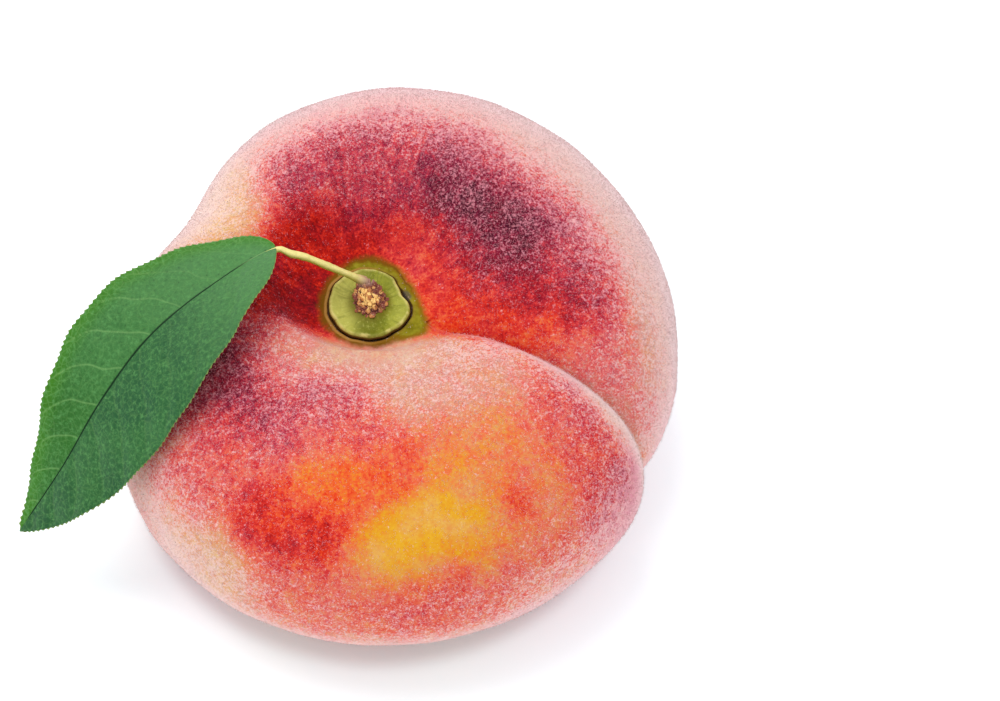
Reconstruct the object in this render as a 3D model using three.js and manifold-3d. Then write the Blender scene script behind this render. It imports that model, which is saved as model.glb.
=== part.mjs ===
// A flat peach as picked: the fruit, the stem collar and its woody stub, and one leaf.
// Millimetres, +Z up. The stem axis runs along +Z, and each piece is first made round it, with
// the fruit's widest level at z = 0.
import * as THREE from "three";
import { mergeVertices } from "three/addons/utils/BufferGeometryUtils.js";
import Module from "manifold-3d";

const { Manifold, Mesh: SolidMesh } = await solidLibrary();

// ---------------------------------------------------------------- fruit, driving dimensions

const MEAN_RADIUS = 37.5;
// How the outline leaves a circle, as parts that repeat 1, 2 and 3 times round the stem axis.
const OUTLINE_PARTS = [
  { times: 1, cosine: 3.1, sine: 1.5 },
  { times: 2, cosine: -1.8, sine: -0.6 },
  { times: 3, cosine: 0.2, sine: -0.3 },
];
const SUTURE_DIRECTION = THREE.MathUtils.degToRad(-24.5);
const SECTION_POWER = 2.4; // 2 is an ellipse, more is squarer

// The widest level, over the surface that the fruit rests on. LOWER_RADIUS reaches further down,
// so the underside is cut flat, in a ring round its dimple.
const WAIST_HEIGHT = 17.6;
const LOWER_RADIUS = 19; // waist to underside
const UPPER_RADIUS = 23.6; // waist to top
const UPPER_TOWARDS_SUTURE = -3.4; // added on the suture side
const UPPER_TOWARDS_BACK = 4.3; // added a quarter turn on, where the tall lobe is

const BASIN_DEPTH = 8.6; // the wide hollow that the stem stands in
const BASIN_SPREAD = 16.5;
const BASIN_RISES = [-0.1, 0.35]; // sines of the rises at which it starts and is full
const BLOSSOM_DEPTH = 3.5; // the shallow dimple underneath
const BLOSSOM_SPREAD = 9;
const BLOSSOM_RISES = [-0.5, -0.1];

const SUTURE_DEPTH = 8.5;
const SUTURE_FRONT_WIDTH = 8.2; // steep bank
const SUTURE_BACK_WIDTH = 21; // easy bank
const SUTURE_SHIFT = 2; // how far the crease swings back of a straight line from the stem
const SUTURE_SHIFT_REACH = 20;
const SUTURE_ROUNDING = 0.4;
const SUTURE_START = 6.2; // distances from the stem axis
const SUTURE_FULL = 13;
const SUTURE_TURNS = [-0.2, 0.5]; // cosines of the turns at which it starts and is full
const FLANK_RISES = [-0.3, 0.7];
const FLANK_SHARE = 0.35; // depth left low on the fruit's side

const VALLEY_DEPTH = 2.6; // a soft hollow opposite the suture
const VALLEY_SPREAD = 9;
const VALLEY_OFFSET = 5;
const VALLEY_START = 5;
const VALLEY_FULL = 14;
const VALLEY_TURNS = [-0.5, 0];
const VALLEY_FLANK_SHARE = 0.6;

// The level seat round the stem, with a short wall in front and a long one behind.
const SEAT_HEIGHT = 13.5; // over the waist, on the stem axis
const SEAT_SLOPE = 0.1; // rises towards the back
const SEAT_RADIUS = 6.2;
const SEAT_FRONT_WALL = 2.4;
const SEAT_BACK_WALL = 14;
const SEAT_WALL_POWER = 0.8;

const FRUIT_COLUMNS = 88;
const FRUIT_ROWS = 44;
const SUTURE_CROWDING = 0.6; // 0 spreads the columns evenly, near 1 gathers them at the suture
const CREASE_FOLLOWING_POWER = 4; // higher leaves the columns away from the crease straighter

// ---------------------------------------------------------------- stem, driving dimensions

const JOINT_GAP = 0.3; // between pieces that touch in the real fruit

const POCKET_RADIUS = 5.7; // the ring-shaped crack round the collar is the rest of this pocket
const POCKET_DEPTH = 1.4;
const POCKET_CUTTER_HEIGHT = 6;
const COLLAR_RADIUS = 5.3;
const COLLAR_THICKNESS = 1.5;
const COLLAR_RIM_WIDTH = 0.6;
const COLLAR_DISH = 0.25;
const COLLAR_DISH_SLOPE = 0.7; // how far the dish takes to reach its depth
const COLLAR_FOOT_CHAMFER = 0.4;
const COLLAR_EDGE_CHAMFER = 0.25;
const COLLAR_SIDES = 96;

// The collar's edge has a notch with a steep front side, and the crack round it follows the notch.
const NOTCH_DEPTH = 1.15;
const NOTCH_DIRECTION = THREE.MathUtils.degToRad(16);
const NOTCH_FRONT_WIDTH = THREE.MathUtils.degToRad(17);
const NOTCH_BACK_WIDTH = THREE.MathUtils.degToRad(40);
const NOTCH_ROOT_RADIUS = 3.1; // nearer the stem axis than this, nothing gives way to the notch

const STUB_FOOT_RADIUS = 2.1;
const STUB_TOP_RADIUS = 1.75;
const STUB_HEIGHT = 2.2;
const STUB_SIDES = 20;
const STUB_RAGGEDNESS = 0.35;
const SOCKET_DEPTH = 0.7; // in the collar, for the stub's foot
const SOCKET_RIM_WIDTH = 0.2;

// ---------------------------------------------------------------- leaf, driving dimensions

// The stalk from the stub to the foot of the blade, then the midrib to the tip, over the waist.
const STALK_POINTS = [
  [-1.1, 2.55, 15.5],
  [-2.6, 1.85, 17.0],
  [-5.2, 1.65, 18.9],
  [-7.6, 1.55, 20.5],
  [-9.7, 1.5, 21.4],
];
const MIDRIB_POINTS = [
  [-11.3, 1.7, 22.0],
  [-19.4, -3.2, 20.4],
  [-26.6, -8.4, 17.2],
  [-32.5, -13.0, 10.9],
  [-37.8, -16.7, 2.3],
  [-43.9, -19.3, -7.5],
];
const STALK_RADIUS = 0.5;
const MIDRIB_TIP_RADIUS = 0.25;
const MIDRIB_SPREAD = 0.8;

// Each half of the blade: its greatest width from the midrib, how fast it widens from its foot
// and how fast it narrows to its tip. The back half is on the +Y side.
const BLADE_BACK = { width: 9.5, footPower: 0.66, tipPower: 0.99 };
const BLADE_FRONT = { width: 12, footPower: 0.72, tipPower: 0.87 };
const BLADE_HALF_THICKNESS = 0.25;
const BLADE_ROLL_AT_FOOT = 19; // degrees, front half up
const BLADE_ROLL_CHANGE = -39; // from foot to tip
const BLADE_FOLD = 10.3; // degrees that each half rises from the midrib
const BLADE_DROOP = 0.4; // share of that rise lost at the edge
const LEAF_STATIONS = 50;
const LEAF_RING = 20;

// ---------------------------------------------------------------- small helpers

const WELD_DISTANCE = 1e-4;

async function solidLibrary() {
  const library = await Module();
  library.setup();
  return library;
}

// 0 below the first limit, 1 above the second, and an easy S between.
function ease([from, to], value) {
  return THREE.MathUtils.smoothstep(value, from, to);
}

function bell(distance, spread) {
  return Math.exp(-((distance / spread) ** 2));
}

function manifoldFrom(geometry) {
  const bare = new THREE.BufferGeometry();
  bare.setAttribute("position", geometry.getAttribute("position"));
  bare.setIndex(geometry.index);
  const merged = mergeVertices(bare, WELD_DISTANCE);
  const faces = merged.index.array;
  return new Manifold(
    new SolidMesh({
      numProp: 3,
      vertProperties: Float32Array.from(merged.getAttribute("position").array),
      triVerts: Uint32Array.from(faces),
    }),
  );
}

function geometryFrom(solid) {
  const { vertProperties, triVerts } = solid.getMesh();
  const geometry = new THREE.BufferGeometry();
  geometry.setAttribute("position", new THREE.BufferAttribute(vertProperties, 3));
  geometry.setIndex(new THREE.BufferAttribute(triVerts, 1));
  return geometry;
}

function namedMesh(name, geometry, colour, roughness) {
  const flat = geometry.index ? geometry.toNonIndexed() : geometry;
  flat.computeVertexNormals();
  const material = new THREE.MeshStandardMaterial({ color: colour, roughness, metalness: 0 });
  const mesh = new THREE.Mesh(flat, material);
  mesh.name = name;
  return mesh;
}

// ---------------------------------------------------------------- fruit

// The plain body: a section that is a squared ellipse, swept round with an uneven outline.
function plainBody(turn, rise) {
  const across = Math.cos(rise);
  const upward = Math.sin(rise);
  let radius = MEAN_RADIUS;
  for (const { times, cosine, sine } of OUTLINE_PARTS) {
    radius += cosine * Math.cos(times * turn) + sine * Math.sin(times * turn);
  }
  const towardsSuture = across * Math.cos(turn);
  const towardsBack = across * Math.sin(turn);
  const upper =
    UPPER_RADIUS + UPPER_TOWARDS_SUTURE * towardsSuture + UPPER_TOWARDS_BACK * towardsBack;
  const height = upward > 0 ? upper : LOWER_RADIUS;
  const sum = (across / radius) ** SECTION_POWER + Math.abs(upward / height) ** SECTION_POWER;
  const reach = sum ** (-1 / SECTION_POWER);
  return new THREE.Vector3(towardsSuture, towardsBack, upward).multiplyScalar(reach);
}

// How deep the suture's crease cuts, at a point of the body with the suture along +X.
function sutureDepth(point, turn, flank) {
  const offLine = point.y - SUTURE_SHIFT * ease([0, SUTURE_SHIFT_REACH], point.x);
  const width = offLine < 0 ? SUTURE_FRONT_WIDTH : SUTURE_BACK_WIDTH;
  const off = Math.hypot(offLine, SUTURE_ROUNDING) - SUTURE_ROUNDING;
  const near = Math.max(0, 1 - off / width);
  const bank = 1 - Math.sqrt(1 - near * near);
  const along = ease([SUTURE_START, SUTURE_FULL], Math.hypot(point.x, point.y));
  const side = ease(SUTURE_TURNS, Math.cos(turn));
  return SUTURE_DEPTH * bank * along * side * THREE.MathUtils.lerp(FLANK_SHARE, 1, flank);
}

function valleyDepth(point, turn, flank) {
  const along = ease([VALLEY_START, VALLEY_FULL], Math.hypot(point.x, point.y));
  const side = 1 - ease(VALLEY_TURNS, Math.cos(turn));
  const depth = VALLEY_DEPTH * bell(point.y - VALLEY_OFFSET, VALLEY_SPREAD);
  return depth * along * side * THREE.MathUtils.lerp(VALLEY_FLANK_SHARE, 1, flank);
}

// Levels the skin round the stem, in the part's own directions.
function seatStem(point) {
  const away = Math.hypot(point.x, point.y);
  const backShare = (point.y / (away + 1e-6) + 1) / 2;
  const wall = THREE.MathUtils.lerp(
    SEAT_FRONT_WALL,
    SEAT_BACK_WALL,
    backShare ** SEAT_WALL_POWER,
  );
  const share = 1 - ease([SEAT_RADIUS, SEAT_RADIUS + wall], away);
  point.z = THREE.MathUtils.lerp(point.z, SEAT_HEIGHT + SEAT_SLOPE * point.y, share);
}

// A point of the skin, for a turn round the stem axis from the suture and a rise over the waist.
function skinPoint(turn, rise) {
  const point = plainBody(turn, rise);
  const upward = Math.sin(rise);
  const fromAxis = Math.hypot(point.x, point.y);
  point.z -= BASIN_DEPTH * bell(fromAxis, BASIN_SPREAD) * ease(BASIN_RISES, upward);
  const under = 1 - ease(BLOSSOM_RISES, upward);
  point.z += BLOSSOM_DEPTH * bell(fromAxis, BLOSSOM_SPREAD) * under;
  const flank = ease(FLANK_RISES, upward);
  const depth = sutureDepth(point, turn, flank) + valleyDepth(point, turn, flank);
  point.setLength(point.length() - depth);
  point.applyAxisAngle(new THREE.Vector3(0, 0, 1), SUTURE_DIRECTION);
  if (upward > 0) seatStem(point);
  return point;
}

// The turn at which the crease crosses a given rise, so that a column of faces can follow it.
function creaseTurn(rise) {
  const across = plainBody(0, rise).x;
  const swing = SUTURE_SHIFT * ease([0, SUTURE_SHIFT_REACH], across);
  return across > 1 ? Math.atan2(swing, across) : 0;
}

function fruitSkin() {
  const geometry = new THREE.SphereGeometry(1, FRUIT_COLUMNS, FRUIT_ROWS);
  geometry.rotateX(Math.PI / 2);
  const positions = geometry.getAttribute("position");
  for (let i = 0; i < positions.count; i += 1) {
    const direction = new THREE.Vector3().fromBufferAttribute(positions, i);
    const rise = Math.asin(THREE.MathUtils.clamp(direction.z, -1, 1));
    const even = Math.atan2(direction.y, direction.x);
    const crowded = even - SUTURE_CROWDING * Math.sin(even);
    const following = ((1 + Math.cos(even)) / 2) ** CREASE_FOLLOWING_POWER;
    const turn = crowded + creaseTurn(rise) * following;
    const point = skinPoint(turn, rise);
    positions.setXYZ(i, point.x, point.y, point.z);
  }
  return geometry;
}

// Moves the edge of a round shape in towards the stem axis where the notch is.
function notch(geometry) {
  const positions = geometry.getAttribute("position");
  for (let i = 0; i < positions.count; i += 1) {
    const x = positions.getX(i);
    const y = positions.getY(i);
    const away = Math.hypot(x, y);
    if (away <= NOTCH_ROOT_RADIUS) continue;
    const azimuth = Math.atan2(y, x);
    const turned = azimuth - NOTCH_DIRECTION;
    const off = Math.atan2(Math.sin(turned), Math.cos(turned));
    const depth = NOTCH_DEPTH * bell(off, off < 0 ? NOTCH_FRONT_WIDTH : NOTCH_BACK_WIDTH);
    const share = (away - NOTCH_ROOT_RADIUS) / (COLLAR_RADIUS - NOTCH_ROOT_RADIUS);
    const scale = (away - depth * Math.min(share, 1)) / away;
    positions.setXY(i, x * scale, y * scale);
  }
}

function tiltedToSeat(geometry, lift) {
  geometry.rotateX(Math.atan(SEAT_SLOPE));
  geometry.translate(0, 0, SEAT_HEIGHT + lift);
  return geometry;
}

function fruit() {
  const cutter = new THREE.CylinderGeometry(
    POCKET_RADIUS,
    POCKET_RADIUS,
    POCKET_CUTTER_HEIGHT,
    COLLAR_SIDES,
  );
  cutter.rotateX(Math.PI / 2);
  cutter.translate(0, 0, POCKET_CUTTER_HEIGHT / 2);
  notch(cutter);
  const pocket = manifoldFrom(tiltedToSeat(cutter, -POCKET_DEPTH));
  const rested = manifoldFrom(fruitSkin()).trimByPlane([0, 0, 1], -WAIST_HEIGHT);
  const solid = rested.subtract(pocket);
  return namedMesh("fruit", geometryFrom(solid), 0xcf5a45, 0.75);
}

// ---------------------------------------------------------------- stem

// The green disc that the fruit grew from: a raised rim, a dished face and a seat for the stub.
function stemCollar() {
  const top = COLLAR_THICKNESS;
  const rim = COLLAR_RADIUS - COLLAR_RIM_WIDTH;
  const socket = STUB_FOOT_RADIUS + JOINT_GAP;
  const profile = [
    [0, 0],
    [COLLAR_RADIUS - COLLAR_FOOT_CHAMFER, 0],
    [COLLAR_RADIUS, COLLAR_FOOT_CHAMFER],
    [COLLAR_RADIUS, top - COLLAR_EDGE_CHAMFER],
    [COLLAR_RADIUS - COLLAR_EDGE_CHAMFER, top],
    [rim, top],
    [rim - COLLAR_DISH_SLOPE, top - COLLAR_DISH],
    [socket + COLLAR_DISH_SLOPE, top - COLLAR_DISH],
    [socket + SOCKET_RIM_WIDTH, top],
    [socket, top],
    [socket, top - SOCKET_DEPTH],
    [0, top - SOCKET_DEPTH],
  ].map(([r, z]) => new THREE.Vector2(r, z));
  const geometry = new THREE.LatheGeometry(profile, COLLAR_SIDES);
  geometry.rotateX(Math.PI / 2);
  notch(geometry);
  tiltedToSeat(geometry, JOINT_GAP - POCKET_DEPTH);
  return namedMesh("stem_collar", geometry, 0x93a83f, 0.6);
}

// The broken end of the twig, with a ragged top.
function stemStub() {
  const geometry = new THREE.CylinderGeometry(
    STUB_TOP_RADIUS,
    STUB_FOOT_RADIUS,
    STUB_HEIGHT,
    STUB_SIDES,
    2,
  );
  geometry.rotateX(Math.PI / 2);
  geometry.translate(0, 0, STUB_HEIGHT / 2);
  const positions = geometry.getAttribute("position");
  for (let i = 0; i < positions.count; i += 1) {
    const x = positions.getX(i);
    const y = positions.getY(i);
    const z = positions.getZ(i);
    const ragged = Math.sin(2.3 * x + 0.7) * Math.cos(2.9 * y - 0.4);
    positions.setZ(i, z + (z / STUB_HEIGHT) * STUB_RAGGEDNESS * ragged);
  }
  const foot = COLLAR_THICKNESS - SOCKET_DEPTH + 2 * JOINT_GAP - POCKET_DEPTH;
  tiltedToSeat(geometry, foot);
  return namedMesh("stem_stub", geometry, 0x5b3722, 0.9);
}

// ---------------------------------------------------------------- leaf

// How wide a half of the blade is at a share of the way from its foot to its tip.
function bladeWidth({ width, footPower, tipPower }, share) {
  if (share <= 0 || share >= 1) return 0;
  const widest = footPower / (footPower + tipPower);
  const peak = widest ** footPower * (1 - widest) ** tipPower;
  return (width * share ** footPower * (1 - share) ** tipPower) / peak;
}

// A ring of points round the leaf at one place along it: round on the stalk, flat on the blade.
function leafRing(spine, along) {
  const stalkShare = STALK_POINTS.length / (STALK_POINTS.length + MIDRIB_POINTS.length - 1);
  const share = THREE.MathUtils.clamp((along - stalkShare) / (1 - stalkShare), 0, 1);
  const centre = spine.getPoint(along);
  const forward = spine.getTangent(along);
  const level = new THREE.Vector3(0, 0, 1).cross(forward).normalize();
  const roll = THREE.MathUtils.degToRad(BLADE_ROLL_AT_FOOT + BLADE_ROLL_CHANGE * share);
  const front = level.clone().applyAxisAngle(forward, roll);
  const up = forward.clone().cross(front);
  const rib = THREE.MathUtils.lerp(STALK_RADIUS, MIDRIB_TIP_RADIUS, share);
  const rise = Math.tan(THREE.MathUtils.degToRad(BLADE_FOLD));
  return Array.from({ length: LEAF_RING }, (_, i) => {
    const angle = (2 * Math.PI * i) / LEAF_RING;
    const side = Math.cos(angle);
    const out = Math.abs(side) * bladeWidth(side < 0 ? BLADE_BACK : BLADE_FRONT, share);
    const lift = out * rise * (1 - BLADE_DROOP * Math.abs(side));
    const thin = Math.min(BLADE_HALF_THICKNESS, rib);
    const half = thin + (rib - thin) * bell(out, MIDRIB_SPREAD);
    return centre
      .clone()
      .addScaledVector(front, Math.sign(side) * out + rib * side)
      .addScaledVector(up, lift + half * Math.sin(angle));
  });
}

// Adds a fan of faces that closes one end of a loft, whose ring starts at a given point.
function closeEnd(points, faces, start, size, facesBack) {
  const middle = new THREE.Vector3();
  for (const point of points.slice(start, start + size)) middle.addScaledVector(point, 1 / size);
  points.push(middle);
  for (let i = 0; i < size; i += 1) {
    const [a, b] = [start + i, start + ((i + 1) % size)];
    if (facesBack) faces.push(points.length - 1, b, a);
    else faces.push(points.length - 1, a, b);
  }
}

// Rings joined one to the next, and closed at both ends.
function loft(rings) {
  const size = rings[0].length;
  const points = rings.flat();
  const faces = [];
  for (let r = 0; r + 1 < rings.length; r += 1) {
    for (let i = 0; i < size; i += 1) {
      const next = (i + 1) % size;
      const [a, b] = [r * size + i, r * size + next];
      const [c, d] = [a + size, b + size];
      faces.push(a, b, c, b, d, c);
    }
  }
  const lastRing = points.length - size;
  closeEnd(points, faces, 0, size, true);
  closeEnd(points, faces, lastRing, size, false);
  const geometry = new THREE.BufferGeometry().setFromPoints(points);
  geometry.setIndex(faces);
  return geometry;
}

function leaf() {
  const points = [...STALK_POINTS, ...MIDRIB_POINTS].map((p) => new THREE.Vector3(...p));
  const spine = new THREE.CatmullRomCurve3(points, false, "centripetal");
  const rings = Array.from({ length: LEAF_STATIONS }, (_, i) =>
    leafRing(spine, i / (LEAF_STATIONS - 1)),
  );
  return namedMesh("leaf", loft(rings), 0x3f8a4f, 0.5);
}

// ---------------------------------------------------------------- the whole peach

const group = new THREE.Group();
group.name = "flat_peach";
group.add(fruit(), stemCollar(), stemStub(), leaf());

// The origin is on the surface that the fruit rests on, under the middle of the whole peach.
const extent = new THREE.Box3().setFromObject(group);
const middle = extent.getCenter(new THREE.Vector3());
for (const mesh of group.children) {
  mesh.position.set(-middle.x, -middle.y, WAIST_HEIGHT);
}

export default group;
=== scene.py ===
# The looks of a flat peach with one leaf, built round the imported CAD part.
# Shapes are in millimetres in the fruit's own axes: the stem axis is x = y = 0, the waist (the
# widest level) is z = 0, and -y faces the camera. placed() puts them in the frame.
import math

import bpy
import numpy as np
from mathutils import Matrix, Vector, noise


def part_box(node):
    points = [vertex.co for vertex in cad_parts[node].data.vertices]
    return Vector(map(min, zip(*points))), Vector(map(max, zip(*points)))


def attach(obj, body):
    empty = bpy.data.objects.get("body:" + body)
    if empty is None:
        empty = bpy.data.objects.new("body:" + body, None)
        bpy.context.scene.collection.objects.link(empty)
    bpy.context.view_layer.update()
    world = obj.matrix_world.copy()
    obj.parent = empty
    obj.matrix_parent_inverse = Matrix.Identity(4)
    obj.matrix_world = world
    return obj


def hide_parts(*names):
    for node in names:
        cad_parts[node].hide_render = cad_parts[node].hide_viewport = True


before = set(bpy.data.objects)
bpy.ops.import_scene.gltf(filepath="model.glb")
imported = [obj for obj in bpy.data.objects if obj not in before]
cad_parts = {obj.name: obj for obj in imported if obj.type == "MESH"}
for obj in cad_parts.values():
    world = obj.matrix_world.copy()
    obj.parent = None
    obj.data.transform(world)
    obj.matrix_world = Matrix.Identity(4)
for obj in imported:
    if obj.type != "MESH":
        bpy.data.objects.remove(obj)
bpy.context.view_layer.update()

MM = 0.001

# -------- fruit, as in the CAD part

MEAN_RADIUS = 37.5
OUTLINE_PARTS = ((1, 3.1, 1.5), (2, -1.8, -0.6), (3, 0.2, -0.3))  # times round, cosine, sine
SUTURE_DIRECTION = math.radians(-24.5)
SECTION_POWER = 2.4

WAIST_HEIGHT = 17.6
LOWER_RADIUS = 19
UPPER_RADIUS = 23.6
UPPER_TOWARDS_SUTURE = -3.4
UPPER_TOWARDS_BACK = 4.3

BASIN_DEPTH = 8.6
BASIN_SPREAD = 16.5
BASIN_RISES = (-0.1, 0.35)  # sines of the rises at which it starts and is full
BLOSSOM_DEPTH = 3.5
BLOSSOM_SPREAD = 9
BLOSSOM_RISES = (0.1, 0.5)  # the same, under the waist

SUTURE_DEPTH = 8.5
SUTURE_FRONT_WIDTH = 8.2
SUTURE_BACK_WIDTH = 21
SUTURE_SHIFT = 2
SUTURE_SHIFT_REACH = 20
SUTURE_ROUNDING = 0.4
SUTURE_STARTS = (6.2, 13)  # out from the stem axis
SUTURE_TURNS = (-0.2, 0.5)  # cosines of the turns at which it starts and is full
FLANK_RISES = (-0.3, 0.7)
FLANK_SHARE = 0.35

VALLEY_DEPTH = 2.6
VALLEY_SPREAD = 9
VALLEY_OFFSET = 5
VALLEY_STARTS = (5, 14)
VALLEY_TURNS = (0, 0.5)
VALLEY_FLANK_SHARE = 0.6

SEAT_HEIGHT = 13.5
SEAT_SLOPE = 0.1
SEAT_RADIUS = 6.2
SEAT_FRONT_WALL = 2.4
SEAT_BACK_WALL = 14
SEAT_WALL_POWER = 0.8

POCKET_RADIUS = 5.7
POCKET_DEPTH = 1.4

# Faces of the visible skin: how many rows reach each rise over the waist, in degrees.
SKIN_COLUMNS = 378
SKIN_RISES = (-90, -60, 45, 70, 81, 90)
SKIN_ROWS = (0, 16, 130, 184, 246, 256)
SUTURE_CROWDING = 0.6  # from 0, evenly spaced columns, to 1, gathered at the suture
CREASE_POWER = 4


def ease(low, high, value):
    """0 below low, 1 above high and an easy S between."""
    t = np.clip((value - low) / (high - low), 0, 1)
    return t * t * (3 - 2 * t)


def bell(distance, spread):
    return np.exp(-((distance / spread) ** 2))


def lerp(a, b, share):
    return a + (b - a) * share


def unit(vectors):
    return vectors / np.linalg.norm(vectors, axis=-1, keepdims=True)


def all_round(count):
    """Evenly spaced angles, the whole way round."""
    return np.linspace(-math.pi, math.pi, count, endpoint=False)


def plain_body(turn, rise):
    across, upward = np.cos(rise), np.sin(rise)
    radius = MEAN_RADIUS
    for times, cosine, sine in OUTLINE_PARTS:
        radius = radius + cosine * np.cos(times * turn) + sine * np.sin(times * turn)
    x, y = across * np.cos(turn), across * np.sin(turn)
    upper = UPPER_RADIUS + UPPER_TOWARDS_SUTURE * x + UPPER_TOWARDS_BACK * y
    height = np.where(upward > 0, upper, LOWER_RADIUS)
    parts = np.abs(across / radius) ** SECTION_POWER + np.abs(upward / height) ** SECTION_POWER
    reach = parts ** (-1 / SECTION_POWER)
    return x * reach, y * reach, upward * reach


def suture_depth(x, y, turn, flank):
    off_line = y - SUTURE_SHIFT * ease(0, SUTURE_SHIFT_REACH, x)
    width = np.where(off_line < 0, SUTURE_FRONT_WIDTH, SUTURE_BACK_WIDTH)
    near = np.clip(1 - (np.hypot(off_line, SUTURE_ROUNDING) - SUTURE_ROUNDING) / width, 0, 1)
    bank = 1 - np.sqrt(1 - near * near)
    along = ease(*SUTURE_STARTS, np.hypot(x, y))
    side = ease(*SUTURE_TURNS, np.cos(turn))
    return SUTURE_DEPTH * bank * along * side * lerp(FLANK_SHARE, 1, flank)


def valley_depth(x, y, turn, flank):
    along = ease(*VALLEY_STARTS, np.hypot(x, y))
    depth = VALLEY_DEPTH * bell(y - VALLEY_OFFSET, VALLEY_SPREAD)
    return depth * along * ease(*VALLEY_TURNS, -np.cos(turn)) * lerp(VALLEY_FLANK_SHARE, 1, flank)


def skin_points(turn, rise):
    """Points of the skin, without its small lumps, for turns from the suture and rises."""
    x, y, z = plain_body(turn, rise)
    upward = np.sin(rise)
    from_axis = np.hypot(x, y)
    z = z - BASIN_DEPTH * bell(from_axis, BASIN_SPREAD) * ease(*BASIN_RISES, upward)
    z = z + BLOSSOM_DEPTH * bell(from_axis, BLOSSOM_SPREAD) * ease(*BLOSSOM_RISES, -upward)
    flank = ease(*FLANK_RISES, upward)
    depth = suture_depth(x, y, turn, flank) + valley_depth(x, y, turn, flank)
    length = np.sqrt(x * x + y * y + z * z)
    x, y, z = (v * (length - depth) / length for v in (x, y, z))
    c, s = math.cos(SUTURE_DIRECTION), math.sin(SUTURE_DIRECTION)
    x, y = x * c - y * s, x * s + y * c
    away = np.hypot(x, y)
    back_share = (y / (away + 1e-6) + 1) / 2
    wall = lerp(SEAT_FRONT_WALL, SEAT_BACK_WALL, back_share**SEAT_WALL_POWER)
    level = np.where(upward > 0, 1 - ease(0, 1, (away - SEAT_RADIUS) / wall), 0)
    z = lerp(z, SEAT_HEIGHT + SEAT_SLOPE * y, level)
    return np.stack([x, y, z], -1)


def crease_turn(rise):
    """The turn at which the suture's crease crosses a rise, so that faces can follow it."""
    across = plain_body(np.zeros_like(rise), rise)[0]
    swing = SUTURE_SHIFT * ease(0, SUTURE_SHIFT_REACH, across)
    return np.where(across > 1, np.arctan2(swing, np.maximum(across, 1)), 0)


def skin_grid():
    """Rows from the underside up, columns round the stem axis."""
    even = all_round(SKIN_COLUMNS)
    crowded = even - SUTURE_CROWDING * np.sin(even)
    rows = np.arange(SKIN_ROWS[-1] + 1)
    rise = np.radians(np.interp(rows, SKIN_ROWS, SKIN_RISES))
    following = ((1 + np.cos(even)) / 2) ** CREASE_POWER
    turn = crowded[None, :] + crease_turn(rise)[:, None] * following[None, :]
    return skin_points(turn, np.broadcast_to(rise[:, None], turn.shape))


# The skin rests flat, keeps clear of the CAD box by the length of the down, and has soft lumps.
DOWN_LENGTH = 0.35
SKIN_LUMPS = ((0.16, 7, 1), (0.035, 1.3, 2))  # height, size, seed
LUMPS_FADE = 3  # how far outside the pocket they are full
RING_RISE = 0.12  # the skin's raised edge round the crack
RING_MIDDLE = 0.35
RING_SPREAD = 0.5

# The collar's edge, with its notch, and the crack between it and the skin.
COLLAR_RADIUS = 5.3
COLLAR_INSET = 0.06  # keeps the wavy edge inside the CAD collar
COLLAR_WAVES = ((3, 1, 0.07), (8, 0, 0.05), (15, 0, 0.03))  # times round, start, height
NOTCH_DIRECTION = math.radians(16)
NOTCH_FRONT_WIDTH = math.radians(17)
NOTCH_BACK_WIDTH = math.radians(40)
NOTCH_DEPTH = 1.15
CRACK_WIDTH = 0.14
CRACK_WAVE = (5, 2, 0.05)  # times round, start, height
NOTCH_CRACK = (0.35, 0.3)  # how much wider it is in the notch, and its spread
CRACK_DEPTH = 0.5
CRACK_WALL = (-0.12, 0.06)  # from the crack's edge: where it is deep and where it starts
HIDDEN_WALL = (-1.15, -0.55)  # the same under the collar


def noise_at(points, size, seed):
    """One smooth noise value for each point, features about size mm across."""
    shift = Vector((seed * 17.3, seed * 5.1, seed * 9.7))
    values = [noise.noise(Vector(p) / size + shift) for p in points.reshape(-1, 3)]
    return np.reshape(values, points.shape[:-1])


def lumps_at(points, lumps):
    return sum(height * noise_at(points, size, seed) for height, size, seed in lumps)


def normals_of_grid(points):
    """Outward normals of a grid that closes on itself along its second axis."""
    around = np.roll(points, -1, 1) - np.roll(points, 1, 1)
    upward = np.gradient(points, axis=0)
    normal = np.cross(around, upward)
    return normal / (np.linalg.norm(normal, axis=-1, keepdims=True) + 1e-12)


def detailed_skin():
    points = skin_grid()
    normal = normals_of_grid(points)
    away = np.hypot(points[..., 0], points[..., 1])
    clear_of_seat = ease(POCKET_RADIUS, POCKET_RADIUS + LUMPS_FADE, away)
    points = points + normal * (lumps_at(points, SKIN_LUMPS) * clear_of_seat)[..., None]
    return with_pocket(points)


def turned_from(azimuth, direction):
    """The angle from a direction, between minus and plus half a turn."""
    return np.angle(np.exp(1j * (azimuth - direction)))


def notch_depth(azimuth):
    off = turned_from(azimuth, NOTCH_DIRECTION)
    return NOTCH_DEPTH * bell(off, np.where(off < 0, NOTCH_FRONT_WIDTH, NOTCH_BACK_WIDTH))


def collar_edge(azimuth):
    wavy = sum(height * np.sin(times * azimuth + start) for times, start, height in COLLAR_WAVES)
    return COLLAR_RADIUS - COLLAR_INSET + wavy - notch_depth(azimuth)


def pocket_edge(azimuth):
    """The crack round the collar is a little wider in the notch and here and there."""
    times, start, height = CRACK_WAVE
    more, spread = NOTCH_CRACK
    in_notch = more * bell(turned_from(azimuth, NOTCH_DIRECTION), spread)
    wider = height * np.sin(times * azimuth + start) + in_notch
    return collar_edge(azimuth) + CRACK_WIDTH + wider


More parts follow.
